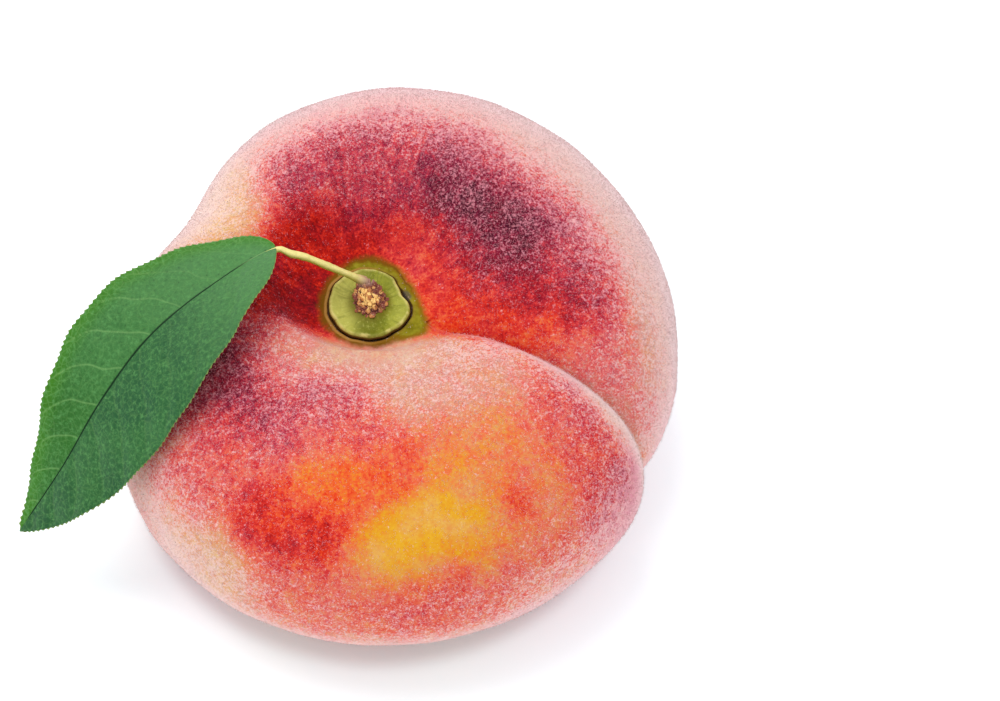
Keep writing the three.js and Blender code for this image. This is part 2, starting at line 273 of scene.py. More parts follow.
def with_pocket(points):
    """A shallow crack beside the collar, and a deeper pocket where the collar hides it."""
    x, y, z = (points[..., i] for i in range(3))
    outside = np.hypot(x, y) - pocket_edge(np.arctan2(y, x))
    top = z > 0
    raised = RING_RISE * bell(outside - RING_MIDDLE, RING_SPREAD) * top
    crack = CRACK_DEPTH * (1 - ease(*CRACK_WALL, outside))
    hidden = (POCKET_DEPTH - CRACK_DEPTH) * (1 - ease(*HIDDEN_WALL, outside))
    return np.stack([x, y, z + raised - (crack + hidden) * top], -1)


# The green skin round the crack, and where it reaches further: degrees, spread in degrees, mm.
HALO_RADIUS = 6.1
HALO_LOBES = ((98, 34, 1), (30, 28, -0.3), (-29, 17, 1.9))


def halo_reach(azimuth):
    """How far from the stem axis the green skin reaches."""
    reach = HALO_RADIUS
    for direction, spread, more in HALO_LOBES:
        off = turned_from(azimuth, math.radians(direction))
        reach = reach + more * bell(off, math.radians(spread))
    return reach


# -------- placing

raw_skin = detailed_skin()
raw_low, raw_high = raw_skin.min((0, 1)), raw_skin.max((0, 1))
cad_low, cad_high = (np.array(corner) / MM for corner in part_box("fruit"))
STEM_AXIS = (cad_low + cad_high - raw_low - raw_high)[:2] / 2
ORIGIN = np.array([STEM_AXIS[0], STEM_AXIS[1], WAIST_HEIGHT])


def placed(points):
    """The fruit's own millimetres as the frame's metres."""
    return (np.asarray(points) + ORIGIN) * MM


def fitted_skin():
    """The skin scaled a hair's length inside the CAD fruit, and pressed flat where it rests."""
    inner = (cad_high - cad_low - 2 * DOWN_LENGTH) / (raw_high - raw_low)
    share = min(inner[0], inner[1])
    x, y = (raw_skin[..., i] * share for i in range(2))
    top = (cad_high[2] - WAIST_HEIGHT - DOWN_LENGTH) / raw_high[2]
    z = np.maximum(raw_skin[..., 2] * np.where(raw_skin[..., 2] > 0, top, 1), -WAIST_HEIGHT)
    return np.stack([x, y, z], -1)


# -------- meshes


def add_object(name, data):
    made = bpy.data.objects.new(name, data)
    bpy.context.scene.collection.objects.link(made)
    return made


def mesh_piece(name, points, faces, node, material, attributes):
    mesh = bpy.data.meshes.new(name)
    mesh.from_pydata(placed(points).tolist(), [], faces)
    mesh.validate()
    mesh.shade_smooth()
    for key, values in attributes.items():
        layer = mesh.attributes.new(key, "FLOAT", "POINT")
        layer.data.foreach_set("value", np.asarray(values, np.float32).ravel())
    mesh.materials.append(material)
    piece = add_object(name, mesh)
    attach(piece, "root")
    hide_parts(node)


def grid_faces(rows, columns, closed, start=0, flip=False):
    """Quads between the points of a grid, which may close on itself along its columns."""
    r = np.arange(rows - 1)[:, None] * columns
    c = np.arange(columns if closed else columns - 1)[None, :]
    n = (c + 1) % columns
    quads = np.stack([r + c, r + n, r + columns + n, r + columns + c], -1).reshape(-1, 4) + start
    return (quads[:, ::-1] if flip else quads).tolist()


def closed_shell(points):
    """Points and faces of a grid closed round its columns, with one point at each end."""
    rows, columns = points.shape[:2]
    body = points[1:-1].reshape(-1, 3)
    first, last = len(body), len(body) + 1
    ends = [points[0].mean(0), points[-1].mean(0)]
    faces = grid_faces(rows - 2, columns, True)
    top = (rows - 3) * columns
    for i in range(columns):
        n = (i + 1) % columns
        faces.append((first, n, i))
        faces.append((last, top + i, top + n))
    return np.vstack([body, ends]), faces


# -------- node helpers


def linear(red, green, blue):
    """A colour given as 0 to 255, as a screen shows it, in the shader's own terms."""
    parts = [v / 255 for v in (red, green, blue)]
    return [v / 12.92 if v <= 0.04045 else ((v + 0.055) / 1.055) ** 2.4 for v in parts] + [1]


def as_colour(value):
    """A colour of 0 to 255 in the shader's own terms, and anything else as it is."""
    return linear(*value) if isinstance(value, tuple) and len(value) == 3 else value


class Shader:
    """A material and short calls that add nodes to it."""

    def __init__(self, name):
        self.material = bpy.data.materials.new(name)
        self.material.use_nodes = True
        self.tree = self.material.node_tree
        self.surface = self.tree.nodes["Principled BSDF"]
        # where a point is in the fruit's own axes, in mm
        place = self.node("TexCoord").outputs["Object"]
        self.where = self.vector("MULTIPLY_ADD", place, (1 / MM,) * 3, tuple(-ORIGIN))

    def node(self, kind, inputs=(), **settings):
        made = self.tree.nodes.new("ShaderNode" + kind)
        for key, value in settings.items():
            setattr(made, key, value)
        for key, value in dict(inputs).items():
            self.feed(made.inputs[key], value)
        return made

    def feed(self, socket, value):
        if isinstance(value, bpy.types.NodeSocket):
            self.tree.links.new(value, socket)
        else:
            socket.default_value = value

    def math(self, operation, a, b=0, c=0, clamp=False):
        made = self.node("Math", {0: a, 1: b, 2: c}, operation=operation, use_clamp=clamp)
        return made.outputs[0]

    def plus(self, a, b):
        return self.math("ADD", a, b)

    def times(self, a, b):
        return self.math("MULTIPLY", a, b)

    def vector(self, operation, a, b=(0, 0, 0), c=(0, 0, 0)):
        made = self.node("VectorMath", {0: a, 1: b, 2: c}, operation=operation)
        return made.outputs["Value" if operation in ("LENGTH", "DISTANCE") else "Vector"]

    def mix(self, share, a, b):
        """A colour that goes from a to b, each a socket or given as 0 to 255."""
        inputs = {0: share, 6: as_colour(a), 7: as_colour(b)}
        return self.node("Mix", inputs, data_type="RGBA").outputs[2]

    def painted(self, colour, layers):
        """A colour with layers over it, each a share and the colour that it goes to."""
        for share, layer in layers:
            colour = self.mix(share, colour, layer)
        return colour

    def part(self, vector, axis):
        """One of a vector's three numbers."""
        return self.node("SeparateXYZ", {0: vector}).outputs[axis]

    def span(self, value, low, high, to_low=0, to_high=1):
        """An easy S from to_low at low to to_high at high."""
        inputs = {0: value, 1: low, 2: high, 3: to_low, 4: to_high}
        made = self.node("MapRange", inputs, interpolation_type="SMOOTHSTEP")
        return made.outputs[0]

    def noise(self, size, detail, roughness, seed, where=None):
        """Noise with features about size mm long."""
        inputs = {"Vector": where or self.where, "W": seed, "Scale": 1 / size, "Detail": detail}
        inputs["Roughness"] = roughness
        return self.node("TexNoise", inputs, noise_dimensions="4D").outputs[0]

    def attribute(self, name):
        return self.node("Attribute", attribute_name=name).outputs["Fac"]

    def bump(self, height, distance, strength):
        """A normal for a relief whose full height is distance, in mm."""
        inputs = {"Height": height, "Distance": distance * MM, "Strength": strength}
        return self.node("Bump", inputs).outputs[0]

    def finish(self, **sockets):
        for key, value in sockets.items():
            self.feed(self.surface.inputs[key.replace("_", " ")], value)
        return self.material


# -------- fruit skin

# Skin colours from no blush at all to the deepest, where it is warm and where it is cool.
BLUSH_STEPS = (0, 0.2, 0.4, 0.55, 0.75, 1)
WARM_COLOURS = (
    (222, 176, 44), (216, 148, 32), (222, 94, 42), (212, 46, 22), (162, 14, 10), (96, 10, 14),
)
COOL_COLOURS = (
    (214, 187, 160), (209, 138, 122), (216, 96, 94), (190, 52, 70), (130, 24, 54), (70, 8, 32),
)
GROUND = (0.42, 0.4)  # blush and coolness away from the named patches
GROUND_WEIGHT = 0.08

# Named patches of the skin. Each is drawn along a course of one or more points, in mm, and has
# a reach to either side, then its blush and its coolness, from about 0 to 1.
SKIN_PATCHES = (
    ("basin wall behind", ((-8, 9, 16), (-1, 8.5, 15.5)), 3.9, 0.74, 0),
    ("basin wall right", ((4.5, 9, 15.6), (8.5, 7.5, 16.3), (13, 1, 15.8)), 3.4, 0.54, 0.42),
    # painted shadow of the leaf: the left basin wall made a deeper red than its own colour
    ("basin wall left", ((-10, 0, 15),), 4.5, 0.86, 0.1),
    ("crease floor", ((12, -1.5, 14), (22, -4.5, 14.5)), 4.5, 0.5, 0.05),
    ("crease wall in front", ((24, -7.5, 12.6), (28.5, -9, 10.8), (34, -11, 3)), 3, 0.42, 1),
    ("crease wall behind", ((18, -0.5, 16.8), (24, -1.8, 16.3)), 3, 0.88, 0.55),
    ("dark back lobe", ((9.5, 14, 21), (18, 8, 19.8), (14.5, 5.5, 18)), 4.5, 1, 1),
    ("mauve back lobe left", ((-10, 16.5, 20.8), (-3, 20, 22.3)), 4.6, 0.68, 1),
    ("mauve back lobe", ((1, 14.5, 19), (3, 21.5, 22.6), (11, 18.5, 22)), 4.4, 0.66, 1),
    ("right end of the back lobe", ((24, 2.5, 18), (28, -1, 15.6)), 3.7, 0.6, 0.8),
    ("back rim", ((-12, 24, 18.5), (14, 26, 18.5)), 4.8, 0.31, 1),
    ("right rim", ((21, 22, 18), (31, 14, 15), (37, 0, 8)), 5.5, 0.16, 1),
    ("right rim inner", ((17, 17.5, 21.3), (24, 12, 19.6), (28.5, 6.5, 17.5)), 3.4, 0.58, 1),
    ("right of the crease", ((31, -6, 12),), 2.6, 0.46, 1),
    ("right rim low", ((35, -9, 5),), 5, 0.32, 0.95),
    ("left shoulder", ((-20, 15, 16),), 6.5, 0, 0.55),
    # painted shadow of the leaf on the front lobe
    ("dusky left cheek", ((-15, -14, 17),), 5.5, 0.82, 0.85),
    ("mauve left crest", ((-5, -15.5, 17), (-9, -20.5, 16)), 3.8, 0.57, 1),
    ("left lip of the crest", ((-10.5, -12.5, 17), (-8.5, -8.5, 16.5)), 3.4, 0.24, 0.95),
    ("lip of the crest", ((-4.5, -10, 15.5), (7, -9, 15)), 3.2, 0.08, 1),
    ("pale crest", ((6, -13.5, 16), (13.5, -14.5, 16)), 4.3, 0.21, 0.9),
    ("pink over the orange", ((-2, -22, 15.8),), 3.5, 0.5, 0.7),
    ("orange over the window", ((17, -21.5, 14.8), (12.5, -26.5, 13.8)), 4, 0.31, 0.25),
    ("mauve right crest", ((24, -17.5, 14), (27.5, -18, 12)), 3.6, 0.5, 0.75),
    # painted highlight: the crest's end made paler where it catches the light
    ("right end of the crest", ((29.5, -14, 9), (33, -14.5, 2)), 3, -0.1, 0.8),
    ("left cheek", ((-20, -25, 12),), 6, 0.49, 0.75),
    ("orange cheek", ((-3, -28, 14),), 4, 0.36, 0),
    ("red by the orange", ((3.5, -27.5, 14),), 2.8, 0.48, 0.1),
    ("yellow window", ((3.5, -36, 8.5), (10, -31.5, 11.5)), 4, 0.1, 0),
    ("right edge of the window", ((14, -34, 7.8),), 3, 0.26, 0),
    ("red left of the window", ((-6.5, -33.5, 10.2), (-13, -31, 10.5)), 3.6, 0.61, 0.15),
    ("red right of the window", ((18.5, -29.5, 10.5),), 1.8, 0.56, 0.2),
    ("orange right cheek", ((23, -28, 9.5), (19, -32, 7.8)), 3.6, 0.27, 0.35),
    ("red right cheek", ((28, -22, 10.5),), 4.5, 0.5, 0.42),
    ("right side", ((31.5, -22, 5),), 5.5, 0.62, 0.85),
    ("red under the window", ((-8, -37, 3), (8, -38, 2.5), (21, -33, 4)), 4.5, 0.44, 0.55),
    ("low right", ((22, -33, -2),), 5, 0.36, 0.7),
    ("low left", ((-21, -31, 2),), 6, 0.12, 0.7),
    ("left side", ((-32, 0, 4),), 10, 0.3, 0.4),
    ("far right side", ((34, 8, -8),), 9, 0.4, 0.7),
    ("back", ((6, 37, 4),), 12, 0.5, 0.7),
    ("low back", ((-8, 30, -12),), 12, 0.2, 0.3),
    ("low front", ((0, -28, -15),), 12, 0.25, 0.5),
    ("underside", ((0, 0, -18),), 10, 0.1, 0.2),
)

LEAST_DOWN = 0.08
DOWN_STARTS = (7, 17)  # out from the stem axis
LOW_DOWN_AND_SHADE = 0.5  # the down's share low on the fruit: fewer hairs, and its pale specks and sheen dimmed there as painted shade
LOW_DOWN_RISES = (-3, 12)
TOP_FROM = 6  # over the waist, where the skin round the stem begins


def distance_to_course(points, course):
    """How far each point is from a course of straight stretches, or from its one point."""
    distances = []
    for start, end in zip(course, course[1:] or course):
        start, along = np.array(start, float), np.subtract(end, start)
        share = np.clip((points - start) @ along / max(along @ along, 1), 0, 1)
        distances.append(np.linalg.norm(points - start - share[..., None] * along, axis=-1))
    return np.min(distances, 0)


def skin_fields(points):
    """Blush and coolness of each point, which every patch spreads as far as it reaches, and down."""
    total = np.full(points.shape[:-1], GROUND_WEIGHT)
    blush, cool = total * GROUND[0], total * GROUND[1]
    for _, course, reach, its_blush, its_cool in SKIN_PATCHES:
        weight = bell(distance_to_course(points, course), reach)
        total = total + weight
        blush = blush + weight * its_blush
        cool = cool + weight * its_cool
    cool = cool / total
    away = np.hypot(points[..., 0], points[..., 1])
    upper = ease(0, TOP_FROM, points[..., 2])
    near_stem = upper * (1 - ease(*DOWN_STARTS, away))
    low = 1 - ease(*LOW_DOWN_RISES, points[..., 2])
    down = lerp(LEAST_DOWN, 1, cool) * (1 - near_stem) * lerp(1, LOW_DOWN_AND_SHADE, low)
    azimuth = np.arctan2(points[..., 1], points[..., 0])
    top = points[..., 2] > TOP_FROM
    return {
        "blush": blush / total,
        "cool": cool,
        "down": down,
        "crack": np.where(top, away - pocket_edge(azimuth), away),
        "halo": np.where(top, halo_reach(azimuth) - away, -away),
    }


def streaks(s, across, along, seed):
    """Noise drawn out along lines that run from the stem to the underside."""
    flat = s.vector("MULTIPLY", s.where, (1, 1, 0))
    round_stem = s.vector("MULTIPLY", s.vector("NORMALIZE", flat), (MEAN_RADIUS,) * 3)
    below = s.math("SUBTRACT", s.vector("LENGTH", flat), s.part(s.where, 2))
    down = s.times(below, across / along)
    place = s.vector("ADD", round_stem, s.node("CombineXYZ", {2: down}).outputs[0])
    return s.noise(across, 3, 0.6, seed, place)


def centred(s, value, amount):
    """A noise value of 0 to 1 as a push either way."""
    return s.math("MULTIPLY_ADD", value, 2 * amount, -amount)


def colour_ramp(s, value, colours):
    made = s.node("ValToRGB", {0: value})
    stops = made.color_ramp.elements
    while len(stops) < len(colours):
        stops.new(0.5)
    for stop, step, colour in zip(stops, BLUSH_STEPS, colours):
        stop.position = step
        stop.color = linear(*colour)
    return made.outputs[0]


# How far each noise pushes the blush either way, from the widest to the finest.
BLUSH_NOISE = {"wide": 0.13, "thin": 0.14, "cloud": 0.19, "mottle": 0.28, "grain": 0.36}
SPECK_STRENGTH = 0.85
SPECK_TINT = 0.2  # how much of the skin under it shows in a speck
NOTCH_STAIN = (4.4, 1.4, SEAT_HEIGHT)  # the grey spot in the notch


def skin_material():
    s = Shader("peach_skin")
    uneven = {
        "wide": streaks(s, 4, 14, 1),
        "thin": streaks(s, 1, 5, 2),
        "cloud": s.noise(6, 3, 0.55, 3),
        "mottle": s.noise(1.1, 3, 0.6, 4),
        "grain": s.noise(0.3, 2, 0.7, 5),
    }
    blush = s.attribute("blush")
    calm = s.span(blush, 0.1, 0.8, 0.5, 1.1)  # the yellow patches are smoother
    for key, amount in BLUSH_NOISE.items():
        blush = s.math("MULTIPLY_ADD", centred(s, uneven[key], amount), calm, blush)
    hue = s.noise(3, 2, 0.5, 6)
    cool = s.math("ADD", s.attribute("cool"), centred(s, hue, 0.5), clamp=True)
    ramps = (colour_ramp(s, blush, colours) for colours in (WARM_COLOURS, COOL_COLOURS))
    colour = round_the_stem(s, s.mix(cool, *ramps))
    # down: pale specks of the skin's fuzz, with painted sheen that gathers them closer together where
    # the skin is seen at a low angle
    fine = s.noise(0.3, 2, 0.9, 7)
    coarse = s.noise(0.9, 2, 0.7, 8)
    facing = s.node("LayerWeight", {"Blend": 0.5}).outputs["Facing"]
    down = s.attribute("down")
    painted_sheen = s.times(s.math("POWER", facing, 1.5), s.span(down, 0, 0.5, 0.05, 1))
    level = s.plus(s.times(down, 0.14), s.times(painted_sheen, 0.52))
    level = s.plus(level, centred(s, coarse, 0.15))
    level = s.plus(level, s.times(centred(s, uneven["cloud"], 0.1), down))
    speck = s.span(s.plus(fine, level), 0.62, 0.82)
    pale = s.mix(s.span(blush, 0.35, 0.8), (234, 202, 200), (234, 150, 166))
    layers = (
        (s.times(speck, SPECK_STRENGTH), s.mix(SPECK_TINT, pale, colour)),
        # painted sheen: the skin paler towards its outline, where there is down
        (s.times(s.span(facing, 0.5, 0.95, 0, 0.7), down), (226, 206, 212)),
    )
    return s.finish(
        Base_Color=s.painted(colour, layers),
        Roughness=s.span(fine, 0.3, 0.7, 0.6, 0.8),
        Normal=s.bump(fine, 0.08, 0.5),
        Sheen_Weight=0.45,
        Sheen_Roughness=0.3,
        Sheen_Tint=linear(255, 218, 222),
        Specular_IOR_Level=0.06,
    )


def round_the_stem(s, colour):
    """Olive and green skin round the crack, the crack's brown with painted shade in it, and its torn
    pale lip.
    """
    rough = s.noise(1.3, 3, 0.6, 9)
    halo = s.plus(s.attribute("halo"), centred(s, rough, 0.7))
    crack = s.plus(s.attribute("crack"), centred(s, rough, 0.12))
    right = s.span(s.part(s.where, 0), 1, 5)
    left = s.span(s.part(s.where, 0), 2.5, -3, 0.15, 1)
    behind = s.span(s.part(s.where, 1), 1, 4.5)
    olive = s.mix(right, (112, 74, 2), (126, 96, 6))
    green = s.mix(s.span(rough, 0.35, 0.65), (108, 104, 6), (142, 136, 30))
    greener = s.times(s.span(halo, 0.2, 0.9), s.math("MAXIMUM", right, behind))
    outline = s.times(s.span(halo, 0, 0.15), s.span(halo, 0.4, 0.2))
    outline = s.times(outline, s.times(right, behind))
    lip = s.times(s.span(crack, 0.55, 0.3), s.span(rough, 0.3, 0.5, 0.5, 1))
    stain = s.span(s.vector("DISTANCE", s.where, NOTCH_STAIN), 1, 0.5)
    layers = (
        (s.span(halo, -0.9, 0.35), olive),
        (s.times(greener, 0.85), green),
        (s.times(outline, 0.7), (84, 36, 8)),
        (s.times(lip, left), (164, 118, 56)),
        # the crack's brown, darkened as painted shade
        (s.times(s.span(crack, 0.18, 0), 0.9), (74, 44, 12)),
        (s.times(s.times(stain, s.span(halo, 0.4, 0.8)), 0.7), (84, 78, 66)),
    )
    return s.painted(colour, layers)


def add_fruit():
    points, faces = closed_shell(fitted_skin())
    fields = skin_fields(points)
    mesh_piece("fruit_skin", points, faces, "fruit", skin_material(), fields)


# -------- down

HAIRS_PER_PIECE = 45000  # 4 faces each
DOWN_PIECES = 3
HAIR_SHORTEST = 0.55  # of DOWN_LENGTH
HAIR_WIDTH = 0.055
HAIR_ROOT = 0.04  # how deep a hair starts under the skin
HAIR_LEAN = (0.25, 1.1)  # least and most, as sideways over upward


def hair_roots(skin, count, draw):
    """Random places on the skin with its outward directions, as thick as the down there."""
    a, b, c = skin[:-1], np.roll(skin, -1, 1)[:-1], skin[1:]
    area = np.linalg.norm(np.cross(b - a, c - a), axis=-1)
    middle = (b + c) / 2
    area = area * skin_fields(middle)["down"] * (middle[..., 2] > 1 - WAIST_HEIGHT)
    steps = np.cumsum(area.ravel())
    picks = np.searchsorted(steps, draw.random(count) * steps[-1])
    r, k = np.unravel_index(picks, area.shape)
    n = (k + 1) % skin.shape[1]
    u, v = draw.random((2, count, 1))
    low = lerp(skin[r, k], skin[r, n], u)
    high = lerp(skin[r + 1, k], skin[r + 1, n], u)
    normal = normals_of_grid(skin)[r, k]
    return lerp(low, high, v), normal


def add_down(number, skin):
    """Short pale hairs, each a slim closed spike."""
    draw = np.random.default_rng(100 + number)
    count = HAIRS_PER_PIECE
    root, normal = hair_roots(skin, count, draw)
    sideways = unit(np.cross(normal, draw.normal(size=(count, 3))))
    other = np.cross(normal, sideways)
    direction = unit(normal + sideways * draw.uniform(*HAIR_LEAN, (count, 1)))
    length = DOWN_LENGTH * draw.uniform(HAIR_SHORTEST, 1, (count, 1))
    start = root - normal * HAIR_ROOT
    corners = [start + direction * (length + HAIR_ROOT)]
    for third in range(3):
        angle = third * 2 * math.pi / 3
        corners.append(start + (other * math.cos(angle) + sideways * math.sin(angle)) * HAIR_WIDTH / 2)
    points = np.stack(corners, 1).reshape(-1, 3)
    first = np.arange(count)[:, None, None] * 4
    faces = (first + np.array([(0, 2, 1), (0, 3, 2), (0, 1, 3), (1, 2, 3)])).reshape(-1, 3)
    blush = np.repeat(skin_fields(root)["blush"], 4)
    name = f"down_{number}"
    mesh_piece(name, points, faces.tolist(), "fruit", down_material(), {"blush": blush})


def down_material():
    s = Shader("down_pale")
    tone = s.noise(2, 2, 0.5, 1)
    colour = s.mix(s.span(tone, 0.35, 0.65), (226, 196, 196), (236, 214, 210))
    colour = s.mix(s.span(s.attribute("blush"), 0.3, 0.8), colour, (226, 146, 158))
    return s.finish(Base_Color=colour, Roughness=s.span(tone, 0.3, 0.7, 0.7, 0.9))


# -------- stem collar

COLLAR_THICKNESS = 1.5
SOCKET_DEPTH = 0.7
JOINT_GAP = 0.3
COLLAR_FOOT = SEAT_HEIGHT + JOINT_GAP - POCKET_DEPTH  # its underside, on the stem axis
COLLAR_TOP = COLLAR_FOOT + COLLAR_THICKNESS
COLLAR_COLUMNS = 220
COLLAR_RINGS = 60
COLLAR_RIM = (0.12, 0.35, 0.3)  # the rim's height, its place in from the edge and its spread
COLLAR_ROUNDING = (0.3, 0.16)
COLLAR_DISH = 0.18
COLLAR_DISH_EDGE = (0.5, 1.6)  # in from the edge
COLLAR_DISH_MIDDLE = (1.9, 2.8)  # out from the stem axis
COLLAR_SIDE = ((0.4, 0), (0.55, 0.1), (0.8, 0.35), (1.1, 0.6), (1.35, 0.8))  # down, in
COLLAR_BOTTOM = 1.4
COLLAR_LUMPS = ((0.07, 0.9, 11), (0.035, 0.35, 12))  # height, size, seed


def tilted(points):
    """Points given over the seat, tilted with it round the stem axis."""
    points = np.array(points)
    points[..., 2] += SEAT_SLOPE * points[..., 1]
    return points


def ring(radius, azimuth, height):
    """A row of points round the stem axis."""
    return np.stack([radius * np.cos(azimuth), radius * np.sin(azimuth), height + 0 * azimuth], -1)


def collar_face(inset, radius):
    """The face's height: a rounded edge, a raised rim and a shallow dish."""
    height, middle, spread = COLLAR_RIM
    rounding, reach = COLLAR_ROUNDING
    rise = height * bell(inset - middle, spread) - rounding * bell(inset, reach)
    dish = -COLLAR_DISH * ease(*COLLAR_DISH_EDGE, inset) * ease(*COLLAR_DISH_MIDDLE, radius)
    return COLLAR_TOP + rise + dish


def add_collar():
    azimuth = all_round(COLLAR_COLUMNS)
    edge = collar_edge(azimuth)
    rows, rims = [], []
    for share in np.linspace(0, 1, COLLAR_RINGS):  # the face, from the middle out
        radius = edge * share
        rows.append(ring(radius, azimuth, collar_face(edge - radius, radius)))
        rims.append(edge - radius)
    for drop, inward in COLLAR_SIDE:
        rows.append(ring(edge - inward, azimuth, COLLAR_TOP - drop))
        rims.append(0 * edge)
    rows.append(ring(0, azimuth, COLLAR_TOP - COLLAR_BOTTOM))
    rims.append(0 * edge)
    points = np.array(rows)
    points[..., 2] += lumps_at(points, COLLAR_LUMPS)
    body, faces = closed_shell(tilted(points)[::-1])
    inset = np.array(rims)[::-1]
    values = np.append(inset[1:-1].ravel(), [0, inset[-1].mean()])
    mesh_piece(
        "collar_disc", body, faces, "stem_collar", collar_material(), {"inset": values}
    )


def collar_material():
    s = Shader("collar_green")
    broad = s.noise(2.6, 3, 0.6, 1)
    fibres = streaks(s, 3, 3, 2)
    fine = s.noise(0.35, 3, 0.7, 3)
    ragged = s.span(s.noise(1.2, 2, 0.6, 5), 0.4, 0.65, 0.1, 0.8)
    inset = s.attribute("inset")
    rim = s.times(s.span(inset, 0.7, 0.25), s.span(inset, 0.05, 0.2))
    to_right = s.part(s.where, 0)
    from_front = s.vector("DISTANCE", s.where, (0, -3.6, COLLAR_TOP))
    away = s.vector("LENGTH", s.vector("MULTIPLY", s.where, (1, 1, 0)))
    layers = (
        # painted light: the face lighter on its left, the side the light comes from
        (s.times(s.span(to_right, 1, -4), 0.85), (182, 178, 86)),
        (s.times(s.span(to_right, 1.5, 4), 0.5), (174, 174, 74)),
        (s.span(from_front, 2.6, 0.8, 0, 0.65), (92, 94, 4)),
        (s.span(fibres, 0.5, 0.7, 0, 0.42), (78, 84, 6)),
        (s.span(fine, 0.52, 0.75, 0, 0.5), (204, 202, 112)),
        # painted shade beside the stub
        (s.times(s.span(away, 3.3, 2.1), 0.75), (102, 92, 8)),  # darker beside the stub
        (s.times(rim, ragged), (212, 198, 122)),
        (s.span(inset, 0.16, 0.04), (84, 56, 16)),
    )
    colour = s.mix(s.span(broad, 0.35, 0.65), (112, 118, 12), (154, 156, 48))
    return s.finish(
        Base_Color=s.painted(colour, layers),
        Roughness=s.span(fine, 0.3, 0.7, 0.45, 0.7),
        Normal=s.bump(fine, 0.12, 0.6),
        Specular_IOR_Level=0.15,
    )


# -------- stem stub

STUB_FOOT_RADIUS = 2.1
STUB_TOP_RADIUS = 1.75
STUB_HEIGHT = 2.2
STUB_FOOT = COLLAR_TOP - SOCKET_DEPTH + JOINT_GAP
STUB_LEAN = 0.45  # how far the stub leans back for each mm it rises
STUB_LEAN_LEFT = 0.18
STUB_COLUMNS = 170
STUB_RINGS = 110
STUB_SIDE_SHARE = 0.55  # of the rings, the others going over the rounded top
STUB_TOP_SHARE = 0.45
STUB_FOOT_INSET = 0.12  # which leaves room for the grains
STUB_TOP_INSET = 0.1
STUB_DOME_START = 0.55  # how far under STUB_HEIGHT the dome starts
STUB_DOME_HEIGHT = 0.3
STUB_DOME_POWER = 0.6
GRAINS = (0.42, 0.62)  # height, size
SMALL_GRAINS = (0.14, 0.3)
GRAINS_SUNK = 0.3
GRAINS_START = 0.3  # how far under the collar's face they start
GRAINS_FULL = 0.5  # and how much further up they are full
GRAIN_ROUNDING = 0.45  # how far in from a crack, in grain sizes, a grain is at full height
STUB_LUMPS = ((0.25, 1.1, 13),)
FLARE_REACH = 0.3
FLARE_SPREAD = 0.35  # over the collar's face
FLARE_LEAST = 0.4  # the flare's share between the grains


def crumbs(points, size, seed):
    """Rounded grains: near 1 in the middle of each grain and 0 in the cracks between."""
    shift = Vector((seed * 3.1, seed * 7.7, seed * 1.3))
    spots = (noise.voronoi(Vector(p) / size + shift)[0] for p in points.reshape(-1, 3))
    gaps = np.array([near[1] - near[0] for near in spots])
    return np.clip(gaps / GRAIN_ROUNDING, 0, 1).reshape(points.shape[:-1])


def stub_ring(share, azimuth):
    """A ring of the plain stub: up its side, then over its rounded top."""
    side = min(share / STUB_SIDE_SHARE, 1)
    turn = max(share - STUB_SIDE_SHARE, 0) / STUB_TOP_SHARE * math.pi / 2
    foot, top = STUB_FOOT_RADIUS - STUB_FOOT_INSET, STUB_TOP_RADIUS - STUB_TOP_INSET
    radius = lerp(foot, top, side) * math.cos(turn) ** STUB_DOME_POWER
    height = STUB_FOOT + (STUB_HEIGHT - STUB_DOME_START) * side + STUB_DOME_HEIGHT * math.sin(turn)
    return ring(radius, azimuth, height)


def add_stub():
    azimuth = all_round(STUB_COLUMNS)
    points = np.array([stub_ring(share, azimuth) for share in np.linspace(0, 1, STUB_RINGS)])
    normal = normals_of_grid(points)
    grains = crumbs(points, GRAINS[1], 1)
    small = crumbs(points, SMALL_GRAINS[1], 2)
    lumps = lumps_at(points, STUB_LUMPS)
    over_collar = points[..., 2] - COLLAR_TOP
    flare = FLARE_REACH * bell(over_collar, FLARE_SPREAD)
    push = GRAINS[0] * grains + SMALL_GRAINS[0] * small - GRAINS_SUNK + lumps
    clear = ease(0, GRAINS_FULL, over_collar + GRAINS_START)
    points = points + normal * (push * clear + flare * (FLARE_LEAST + grains))[..., None]
    above = np.maximum(points[..., 2] - COLLAR_TOP, 0)
    points[..., 0] -= STUB_LEAN_LEFT * above
    points[..., 1] += STUB_LEAN * above
    body, faces = closed_shell(tilted(points))
    values = np.append((0.7 * grains + 0.3 * small)[1:-1].ravel(), [0, 1])
    mesh_piece(
        "stem_stub_wood", body, faces, "stem_stub", stub_material(), {"grain": values}
    )


def stub_material():
    s = Shader("stub_wood")
    cells = s.node("TexVoronoi", {"Vector": s.where, "Scale": 1 / 0.55}).outputs["Color"]
    fine = s.noise(0.18, 3, 0.7, 2)
    from_top = s.vector("DISTANCE", s.where, (-0.5, -0.7, STUB_FOOT + STUB_HEIGHT))
    from_stalk = s.vector("DISTANCE", s.where, (-0.6, 2.4, STUB_FOOT + STUB_HEIGHT))
    pick = s.plus(s.part(cells, 0), s.span(from_top, 1.9, 0.6, -0.3, 0.55))
    layers = (
        (s.span(pick, 0.55, 0.8), (246, 202, 124)),
        (s.span(fine, 0.5, 0.75, 0, 0.6), (248, 222, 170)),
        (s.span(s.attribute("grain"), 0.35, 0.02), (60, 20, 28)),  # the cracks
        (s.span(from_stalk, 1.5, 0.8, 0, 0.8), (178, 140, 124)),
    )
    colour = s.mix(s.span(pick, 0.25, 0.55), (128, 62, 54), (196, 128, 72))
    return s.finish(
        Base_Color=s.painted(colour, layers),
        Roughness=s.span(fine, 0.3, 0.7, 0.6, 0.9),
        Normal=s.bump(fine, 0.1, 0.8),
        Specular_IOR_Level=0.2,
    )


# -------- leaf

